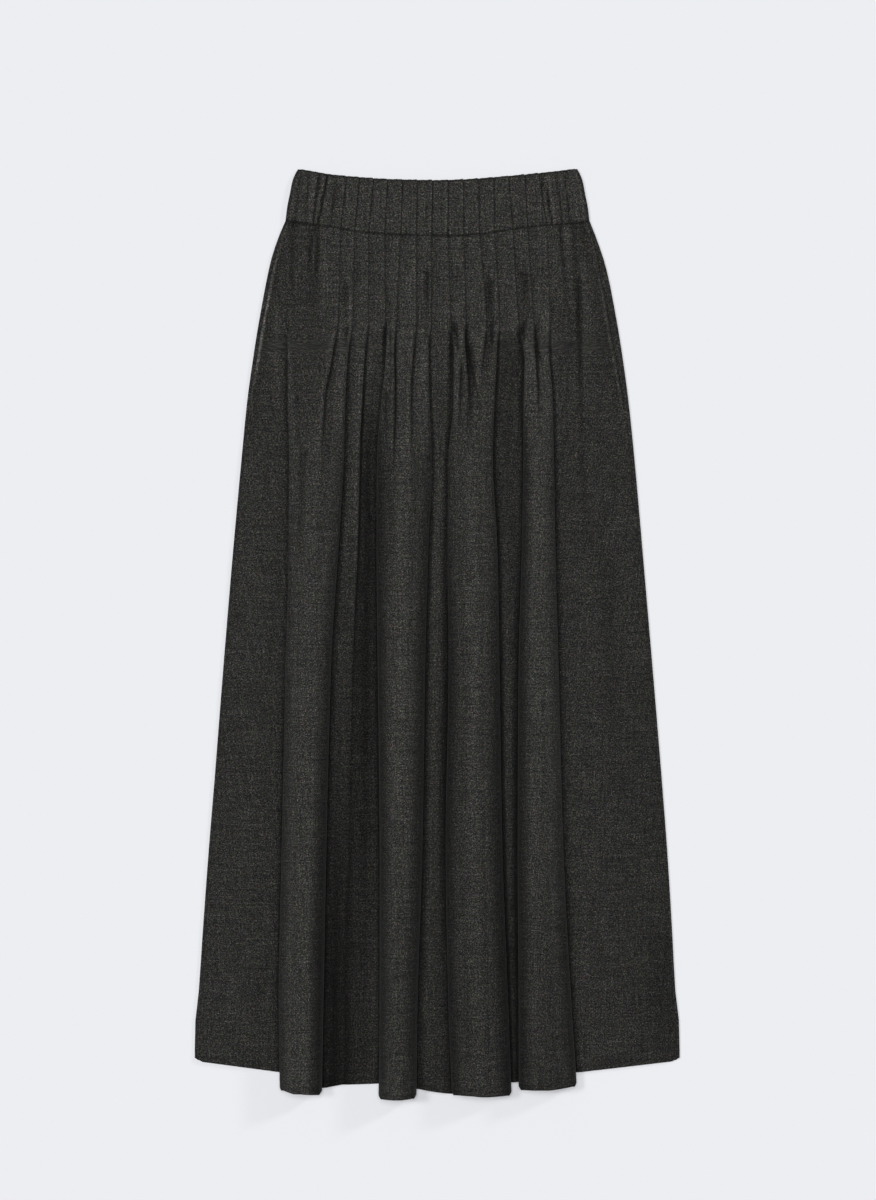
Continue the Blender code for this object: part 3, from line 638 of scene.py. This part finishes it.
def painted_fold_shading(x, drop, states):
    """Painted light and shade on the folds: paler crowns, darker cloth deep between them and
    towards the right seam, and lighter or darker strips below the tuck ends; the stitched tucks
    and the stitches that end them are also made paler.
    """
    from_middle = abs(x - TUCKS_MIDDLE)
    stitched = 1.0 - smooth((drop - 165.0) / 60.0)
    tone = TUCKS_PALE * stitched * (1.0 - smooth((from_middle - TUCKS_HALF) / 20.0))
    for left, right, upper, middle, lower in ROLL_SHADING:
        a = states[LINE_NAMES.index(left)][0]
        b = states[LINE_NAMES.index(right)][0]
        if a < x < b:
            t = (x - a) / (b - a)
            by_left, crown, by_right = [
                curve(SHADING_DROPS, tones, drop) for tones in zip(upper, middle, lower)
            ]
            across = crown * math.sin(math.pi * t) ** 3
            across += by_left * clamp(1.0 - t / 0.42, 0.0, 1.0) ** 1.5
            across += by_right * clamp((t - 0.52) / 0.48, 0.0, 1.0) ** 1.4
            tone += across * smooth((drop - 190.0) / 150.0)
    tone -= RIGHT_SIDE_SHADE * smooth((x - 150.0) / 90.0) * smooth((drop - 380.0) / 250.0)
    if from_middle < TUCKS_HALF:
        tone += TUCK_END_TONE * math.exp(-((drop - TUCK_END) / 1.2) ** 2)
    for left, right, last, shade in TUCK_END_STRIPS:
        if drop > TUCK_END - 1.0 and left - 3.0 < x < right + 3.0:
            inside = smooth((x - left) / 3.0 + 0.5) * smooth((right - x) / 3.0 + 0.5)
            tone += shade * inside * (1.0 - smooth((drop - TUCK_END) / (last - TUCK_END)))
    return tone


def row_drop(nominal, x, hem):
    """Real drop of a point on a row: the rows bend to the seam above and the hem below."""
    upper = 1.0 - clamp((nominal - SEAM_DROP) / SEAM_BEND, 0.0, 1.0)
    lower = smooth((nominal - HEM_DROP + HEM_BEND) / HEM_BEND)
    return nominal + (read(BAND_SEAM, x) - 0.2 - SEAM_DROP) * upper + (hem - HEM_DROP) * lower


def hem_tone(up):
    """Painted shade in the groove of the hem's stitches and along its turned edge, on each row
    above the edge.
    """
    stitches = HEM_STITCH_TONE * math.exp(-((up - HEM_STITCH_UP) / 0.9) ** 2)
    return stitches + HEM_EDGE_TONE * (1.0 - smooth(up / 1.4))


def corner_lift(from_edge):
    """How far the hem is drawn up where it turns round at a side seam."""
    return SIDE_CORNER_ROUND * (1.0 - smooth(from_edge / 5.0))


def panel_rows():
    """Drops of a panel's rows: close together at the seam, the tuck ends and the hem."""
    rows = list(SEAM_ROWS)
    for first, last, step in ROW_STRETCHES:
        rows += list(np.arange(first, last + 0.1, step))
    return rows + [HEM_DROP - up for up in HEM_ROWS]


def capped(tone):
    """A tone whose pale side is held back, so that the painted light goes only so far."""
    return PALEST * math.tanh(tone / PALEST) if tone > 0.0 else tone


# Sheets of cloth from rows of points


def relief(path, heights, scales):
    """Painted light and shade from how far the points of a row stand above the cloth near them and
    further round them: raised points paler, sunk ones darker.
    """
    x = np.array([p[0] for p in path])
    z = np.array(heights)
    even = np.linspace(x.min(), x.max(), 1600)
    order = np.argsort(x)
    level = np.interp(even, x[order], z[order])
    shown = np.zeros(len(z))
    for reach, full, share in scales:
        steps = reach / (even[1] - even[0])
        side = int(steps * 3.0)
        window = np.exp(-0.5 * (np.arange(-side, side + 1) / steps) ** 2)
        around = np.convolve(np.pad(level, side, mode="edge"), window / window.sum(), "valid")
        shown += share * np.tanh((z - np.interp(x, even, around)) / full)
    return shown


def cloth_piece(name, grid, lengths, stands):
    """A sheet on a grid of points in millimetres, with its own cloth coordinates."""
    rows = len(grid)
    columns = len(grid[0])
    mesh = bmesh.new()
    bmesh.ops.create_grid(mesh, x_segments=columns - 1, y_segments=rows - 1, size=1.0)
    mesh.verts.ensure_lookup_table()
    layer = mesh.loops.layers.uv.new("cloth")
    # Painted light and shade of each point, kept as the relief attribute
    standing = mesh.verts.layers.float.new("relief")
    spots = {}
    for vertex in mesh.verts:
        c = round((vertex.co.x + 1.0) / 2.0 * (columns - 1))
        r = round((1.0 - vertex.co.y) / 2.0 * (rows - 1))
        spots[vertex.index] = (r, c)
    for vertex in mesh.verts:
        r, c = spots[vertex.index]
        x, drop, height = grid[r][c]
        vertex.co = (x * 0.001, (TOTAL_LENGTH / 2.0 - drop) * 0.001, height * 0.001)
        vertex[standing] = stands[r][c]
    for face in mesh.faces:
        face.smooth = True
        for loop in face.loops:
            r, c = spots[loop.vert.index]
            loop[layer].uv = (lengths[r][c] * 0.001, grid[r][c][1] * 0.001)
    data = bpy.data.meshes.new(name)
    mesh.to_mesh(data)
    mesh.free()
    piece = bpy.data.objects.new(name, data)
    bpy.context.scene.collection.objects.link(piece)
    wall = piece.modifiers.new("cloth thickness", "SOLIDIFY")
    wall.thickness = SHELL * 0.001
    wall.offset = 0.0
    return piece


def cloth_lengths(path):
    """Distance along a row of the cloth from its middle, which a weave follows."""
    steps = np.hypot(np.diff(path[:, 0]), np.diff(path[:, 1]))
    run = np.concatenate([[0.0], np.cumsum(steps)])
    return run - run[-1] / 2.0


def front_steps():
    """Columns of the mesh for each stretch between two points of a front section."""
    steps = [CLOTH_STEPS] * SIDE_POINTS
    for k in range(len(FOLD_LINES)):
        stretches = STRIP_POINTS + 1 if k < len(FOLD_LINES) - 1 else SIDE_POINTS
        steps += FOLD_STEPS + [CLOTH_STEPS] * stretches
    return steps


def front_cloth():
    """The tucked and folded front, row by row from the waistband seam to the hem."""
    grid = []
    lengths = []
    stands = []
    steps = front_steps()
    for nominal in panel_rows():
        states = [line_state(line, nominal) for line in FOLD_LINES]
        path = through(front_section(nominal), steps)
        left = -outline(nominal, 3)
        right = outline(nominal, 4)
        ridge = read(EDGE_RIDGE, nominal)
        row = []
        for x, z, hem in path:
            from_edge = min(x - left, right - x)
            drop = row_drop(nominal, x, hem - corner_lift(from_edge))
            height = z + swelling(x, nominal) + crease_height(x, drop)
            height += foot_grooves(x, nominal, states)
            height += unevenness(x, drop, 2.0) * smooth((drop - 60.0) / 30.0)
            height += ridge * math.exp(-((from_edge - 1.6) / 2.0) ** 2)
            height += 0.25 * (1.0 - smooth(from_edge / 3.0))
            up = HEM_DROP - nominal
            height -= STITCH_GROOVE * math.exp(-((up - HEM_STITCH_UP) / 0.9) ** 2)
            height -= 0.9 * (1.0 - smooth((nominal - SEAM_DROP) / 3.6))
            row.append((x, drop, max(height, front_level(x, nominal) - 0.15)))
        grid.append(row)
        lengths.append(cloth_lengths(path))
        # Painted light and shade of each point: from its relief, the folds, the creases, the
        # waistband seam, the hem and the pressed side edges
        pale = relief(path, [p[2] for p in row], RELIEF_SCALES)
        pale *= mix(STITCHED_RELIEF, 1.0, smooth((nominal - 158.0) / 16.0))
        for n, (x, z, hem) in enumerate(path):
            pale[n] += painted_fold_shading(x, nominal, states) + CREASE_TONE * crease_height(x, row[n][1])
            pale[n] = capped(pale[n])
            pale[n] += seam_tone(x, nominal - SEAM_DROP) - hem_tone(HEM_DROP - nominal)
            pale[n] += read(EDGE_HIGHLIGHT, nominal) * math.exp(-((x - left - 1.3) / 1.6) ** 2)
            pale[n] += read(EDGE_HIGHLIGHT, nominal, 2) * math.exp(-((right - x - 1.3) / 1.6) ** 2)
        stands.append(pale)
    return cloth_piece("front_cloth", grid, lengths, stands)


def wrapped_path(half_left, half_right, seam_left, seam_right, level, wave):
    """The back cloth from the left seam round under the skirt to the right seam."""
    bottom = WALL / 2.0
    count = GATHER_COUNT * 2 + 1
    turn = (level - bottom) / 2.0
    path = [
        (seam_left, level),
        (half_left + turn + 0.6, level),
        (half_left + 0.6, bottom + turn),
        (half_left + turn + 0.6, bottom),
    ]
    low = half_left + turn + 3.0
    high = half_right - turn - 3.0
    for n in range(count):
        swing = 0.5 + 0.5 * math.sin(n * 2.39)
        shift = 0.24 * math.sin(n * 1.7) if 0 < n < count - 1 else 0.0
        x = mix(low, high, (n + shift) / (count - 1))
        path.append((x, bottom + (wave(x) * mix(0.55, 1.0, swing) if n % 2 else 0.0)))
    path += [
        (half_right - turn - 0.6, bottom),
        (half_right - 0.6, bottom + turn),
        (half_right - turn - 0.6, level),
        (seam_right, level),
    ]
    return through(path, [GATHER_STEPS] * (len(path) - 1))


def seam_tone(x, from_edge):
    """Painted shade in a seam's crease, which is deeper in some places than in others."""
    uneven = 0.85 + 0.3 * math.sin(x * 0.21) * math.sin(x * 0.083 + 1.0)
    return -0.8 * uneven * (1.0 - smooth(from_edge / 2.4))


def back_cloth():
    """The gathered back, flat on the floor and round both sides to the front."""
    grid = []
    lengths = []
    stands = []
    for nominal in panel_rows()[::2] + [HEM_DROP]:
        half = outline(nominal, 1)
        path = wrapped_path(
            -half, outline(nominal, 2), -outline(nominal, 3) + 0.3, outline(nominal, 4) - 0.3,
            BACK_SEAM_LEVEL, lambda x: gather_height(x, nominal, half),
        )
        row = []
        tones = []
        for n, (x, z) in enumerate(path):
            from_edge = min(half + x, outline(nominal, 2) - x)
            drop = row_drop(nominal, x, read(BACK_HEM, x) - corner_lift(from_edge))
            under = WRAP_COLUMNS <= n < len(path) - WRAP_COLUMNS
            crease = crease_height(x, drop, BACK_CREASES) if under else 0.0
            row.append((x, drop, max(z + crease, SHELL / 2.0 + 0.05)))
            # Painted shade on the gathers where they stand off the floor, in the waistband seam
            # and along the hem
            lift = z - WALL / 2.0 + 2.0 * crease if under else 0.0
            dark = BACK_SHADE * lift + hem_tone(HEM_DROP - nominal)
            tones.append(seam_tone(x, nominal - SEAM_DROP) - dark)
        grid.append(row)
        lengths.append(cloth_lengths(path))
        stands.append(tones)
    return cloth_piece("back_cloth", grid, lengths, stands)


# Waistband


def band_half(share):
    """Half width of the band at one share of its depth."""
    return read(BAND_SIDE, BAND_SIDE_DEPTH * share)


def band_controls(share, half):
    """Across places and heights of the band's face at one share of its depth."""
    points = [(-half, -0.5), (-half + 2.0, 0.1)]
    points += [(mix(-half, BAND_TUCKS[0], t), 0.3) for t in (0.12, 0.24, 0.36, 0.48, 0.6, 0.72)]
    for top_x, line, size in zip(BAND_TUCKS, FOLD_LINES[1:], BAND_TUCK_SIZES):
        x = mix(top_x, line[6][0], share)
        points += [
            (x - 9.0, BAND_STEP * 0.3), (x - 4.5, BAND_STEP * 0.6), (x - 1.6, BAND_STEP * size),
            (x - 0.5, BAND_STEP * 0.9 * size), (x + 0.1, -0.2 * size), (x + 0.8, -0.6 * size),
            (x + 1.9, 0.0),
        ]
    points += [(mix(half, BAND_TUCKS[-1], t), 0.3) for t in (0.72, 0.6, 0.48, 0.36, 0.24, 0.12)]
    return points + [(half - 2.0, 0.1), (half, -0.5)]


def band_crease(x, share):
    """Height of the elastic's creases at a point of the band."""
    height = 0.0
    for top_x, seam_x, width, size in BAND_CREASES:
        off = (x - mix(top_x, seam_x, share)) / width
        if abs(off) < 3.0:
            height += size * math.exp(-off * off) * smooth(share / 0.12) * 0.8
    return height


def band_front_cloth():
    """The front of the waistband with its tucks and the creases of its elastic."""
    grid = []
    lengths = []
    stands = []
    for share, face in BAND_ROWS:
        half = band_half(share) - BAND_EDGE_INSET + 0.2
        controls = band_controls(share, half)
        path = through(controls, [BAND_STEPS] * (len(controls) - 1))
        row = []
        pale = []
        shown = smooth(face)
        for x, z in path:
            crease = band_crease(x, share)
            top = read(BAND_TOP, x) - 0.25 * z + 0.12 * math.sin(x * 0.9) - 0.12 * crease
            drop = mix(top, read(BAND_SEAM, x), share)
            sides = 1.0 - smooth((half - abs(x)) / 9.0)
            height = BAND_FRONT_LEVEL + 0.7 + face * BAND_FACE * (1.0 - 0.3 * sides)
            height += (z + crease) * shown + unevenness(x, drop, 5.0) * 0.8 * shown
            row.append((x, drop, max(height, BAND_FRONT_LEVEL + 0.45)))
            # Painted highlight along the band's side edges, and painted shade at its seam, along
            # its top edge and in the elastic's creases
            edge = math.exp(-((half - abs(x) - 2.2) / 1.3) ** 2) * (0.35 if x > 0.0 else 0.15)
            at_seam = 0.9 * smooth((share - 0.965) / 0.03)
            at_top = 0.8 * (1.0 - smooth((share - 0.012) / 0.03))
            pale.append(BAND_PALE + CREASE_TONE * 1.4 * crease + edge - at_seam - at_top)
        grid.append(row)
        lengths.append(cloth_lengths(path))
        # Painted light and shade from the relief, with only part of the painted highlight kept on
        # the ridges
        fine = relief(path, [p[2] for p in row], BAND_RELIEF)
        stands.append([a + (b if b < 0.0 else b * BAND_RIDGE_TONE) for a, b in zip(pale, fine)])
    return cloth_piece("band_front_cloth", grid, lengths, stands)


def band_back_cloth():
    """The gathered back of the waistband, round both sides to the front."""
    grid = []
    lengths = []
    stands = []
    for share in np.linspace(0.0, 1.0, BAND_BACK_ROWS):
        half = band_half(share)
        front_half = half - BAND_EDGE_INSET - 0.2
        path = wrapped_path(
            -half, half, -front_half, front_half, BAND_FRONT_LEVEL,
            lambda x: BAND_GATHER_HEIGHT * smooth((half - abs(x)) / 12.0),
        )
        row = []
        tones = []
        for n, (x, z) in enumerate(path):
            drop = mix(read(BAND_TOP, x), read(BAND_SEAM, x) + 0.4, share)
            row.append((x, drop, max(z, SHELL / 2.0 + 0.05)))
            under = WRAP_COLUMNS <= n < len(path) - WRAP_COLUMNS
            # Painted shade on the gathers where they stand off the floor and in the seam
            lift = z - WALL / 2.0 if under else 0.0
            tones.append(seam_tone(x, (1.0 - share) * 54.0) - BACK_SHADE * lift)
        grid.append(row)
        lengths.append(cloth_lengths(path))
        stands.append(tones)
    return cloth_piece("band_back_cloth", grid, lengths, stands)


# Materials


class Shade:
    """A value in a material; sums written on it become its maths nodes."""

    def __init__(self, paint, socket):
        self.paint = paint
        self.socket = socket

    def sum(self, operation, first, second):
        return self.paint.node("ShaderNodeMath", {"operation": operation}, {0: first, 1: second})

    def __add__(self, other):
        return self.sum("ADD", self, other)

    def __sub__(self, other):
        return self.sum("SUBTRACT", self, other)

    def __mul__(self, other):
        return self.sum("MULTIPLY", self, other)


class Paint:
    """A material under construction."""

    def __init__(self, name):
        self.material = bpy.data.materials.new(name)
        self.material.use_nodes = True
        self.tree = self.material.node_tree
        self.shader = self.tree.nodes["Principled BSDF"]

    def node(self, kind, settings, values, output=0):
        made = self.tree.nodes.new(kind)
        for setting, value in settings.items():
            if setting == "stops":
                ramp = made.color_ramp
                while len(ramp.elements) < len(value):
                    ramp.elements.new(0.5)
                for element, (place, colour) in zip(ramp.elements, value):
                    element.position = place
                    element.color = colour
            else:
                setattr(made, setting, value)
        for socket, value in values.items():
            self.feed(made.inputs[socket], value)
        return Shade(self, made.outputs[output])

    def feed(self, socket, value):
        if isinstance(value, Shade):
            self.tree.links.new(value.socket, socket)
        else:
            socket.default_value = value

    def cells(self, place, scale):
        return self.node(
            "ShaderNodeTexVoronoi", {"voronoi_dimensions": "2D"},
            {"Vector": place, "Scale": scale}, output=1,
        )

    def noise(self, place, scale, detail):
        return self.node(
            "ShaderNodeTexNoise", {"noise_dimensions": "2D"},
            {"Vector": place, "Scale": scale, "Detail": detail, "Roughness": 0.6},
        )

    def set(self, **values):
        for name, value in values.items():
            self.feed(self.shader.inputs[name.replace("_", " ")], value)


def wool(name, seed):
    """Charcoal melange wool: dark and pale fibres spun together in a fine plain weave."""
    paint = Paint(name)
    cloth = paint.node("ShaderNodeUVMap", {"uv_map": "cloth"}, {})
    moved = paint.node(
        "ShaderNodeVectorMath", {"operation": "ADD"}, {0: cloth, 1: (seed, seed, 0.0)}
    )
    downwards = paint.node(
        "ShaderNodeVectorMath", {"operation": "MULTIPLY"}, {0: moved, 1: (1.0, YARN_STRETCH, 1.0)}
    )
    crosswise = paint.node(
        "ShaderNodeVectorMath", {"operation": "MULTIPLY"}, {0: moved, 1: (YARN_STRETCH, 1.0, 1.0)}
    )
    flecks = paint.cells(moved, FLECKS_PER_METRE)
    slubs = paint.cells(moved, SLUBS_PER_METRE)
    warp = paint.noise(downwards, YARNS_PER_METRE, 1.0)
    weft = paint.noise(crosswise, YARNS_PER_METRE, 1.0)
    hairs = paint.noise(moved, HAIRS_PER_METRE, 0.0)
    fleck = paint.node("ShaderNodeSeparateColor", {}, {0: flecks})
    slub = paint.node("ShaderNodeSeparateColor", {}, {0: slubs})
    yarns = warp * WARP_SHARE + weft * WEFT_SHARE
    tone = fleck * FLECK_SHARE + slub * SLUB_SHARE + yarns + hairs * HAIR_SHARE - TONE_DROP
    colour = paint.node("ShaderNodeValToRGB", {"stops": WOOL_COLOURS}, {"Fac": tone})
    # The relief attribute carries the painted light and shade of the cloth, which scales the
    # wool's colour
    stands = paint.node("ShaderNodeAttribute", {"attribute_name": "relief"}, {}, output=2)
    painted_light_and_shade = paint.node("ShaderNodeMath", {"operation": "EXPONENT"}, {0: stands})
    colour = paint.node(
        "ShaderNodeVectorMath", {"operation": "SCALE"}, {0: colour, "Scale": painted_light_and_shade}
    )
    tinted = paint.node(
        "ShaderNodeVectorMath", {"operation": "SUBTRACT"}, {0: slubs, 1: (0.5, 0.5, 0.5)}
    )
    tint = paint.node(
        "ShaderNodeVectorMath", {"operation": "MULTIPLY_ADD"},
        {0: tinted, 1: (TINT, TINT, TINT), 2: (1.0, 1.0, 1.0)},
    )
    colour = paint.node("ShaderNodeVectorMath", {"operation": "MULTIPLY"}, {0: colour, 1: tint})
    height = fleck * 0.6 + warp * 0.5 + weft * 0.5 + hairs * 0.6
    bump = paint.node(
        "ShaderNodeBump", {}, {"Height": height, "Strength": 0.6, "Distance": 0.00045}
    )
    paint.set(Base_Color=colour, Roughness=0.95, Normal=bump)
    paint.set(Specular_IOR_Level=0.10, Sheen_Weight=0.06, Sheen_Roughness=0.5)
    return paint.material


def dress(piece, material, node):
    """Give a sheet its wool, hang it on the root body and hide the solid that it stands for."""
    piece.data.materials.append(material)
    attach(piece, "root")
    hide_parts(node)


back = back_cloth()
dress(back, wool("back wool", 1.7), "back_panel")
front = front_cloth()
dress(
    front, wool("front wool", 0.0), "front_panel",
)
band_back = band_back_cloth()
dress(
    band_back, wool("back band wool", 3.1), "waistband_back",
)
band_front = band_front_cloth()
dress(
    band_front, wool("front band wool", 5.3), "waistband_front",
)


# Floor, light and camera


def floor_piece():
    mesh = bmesh.new()
    bmesh.ops.create_grid(mesh, x_segments=1, y_segments=1, size=6.0)
    data = bpy.data.meshes.new("floor")
    mesh.to_mesh(data)
    mesh.free()
    floor = bpy.data.objects.new("floor", data)
    bpy.context.scene.collection.objects.link(floor)
    paint = Paint("pale floor")
    paint.set(Base_Color=FLOOR_COLOUR, Roughness=0.9, Specular_IOR_Level=0.1)
    data.materials.append(paint.material)


def sun(name, towards, strength, softness):
    light = bpy.data.lights.new(name, "SUN")
    light.energy = strength
    light.angle = math.radians(softness)
    lamp = bpy.data.objects.new(name, light)
    lamp.rotation_euler = Vector(towards).to_track_quat("-Z", "Y").to_euler()
    lamp.location = -Vector(towards) * 2.0
    bpy.context.scene.collection.objects.link(lamp)


floor_piece()
for lamp_name, direction, lamp_strength, lamp_softness in LAMPS:
    sun(lamp_name, direction, lamp_strength, lamp_softness)
world = bpy.data.worlds.new("studio")
world.use_nodes = True
world.node_tree.nodes["Background"].inputs["Color"].default_value = (1.0, 1.0, 1.0, 1.0)
world.node_tree.nodes["Background"].inputs["Strength"].default_value = AIR_LIGHT
bpy.context.scene.world = world
bpy.context.scene.view_settings.view_transform = "Standard"

lens = bpy.data.cameras.new("camera")
lens.sensor_fit = "VERTICAL"
lens.sensor_height = SENSOR_HEIGHT
lens.lens = SENSOR_HEIGHT * CAMERA_HEIGHT / (PHOTO_HEIGHT * MM_PER_PIXEL * 0.001)
lens.clip_end = 20.0
camera = bpy.data.objects.new("camera", lens)
camera.location = (
    CAMERA_MIDDLE[0] * 0.001,
    (TOTAL_LENGTH / 2.0 - CAMERA_MIDDLE[1]) * 0.001,
    CAMERA_HEIGHT + 0.003,
)
bpy.context.scene.collection.objects.link(camera)
bpy.context.scene.camera = camera

bpy.context.view_layer.update()
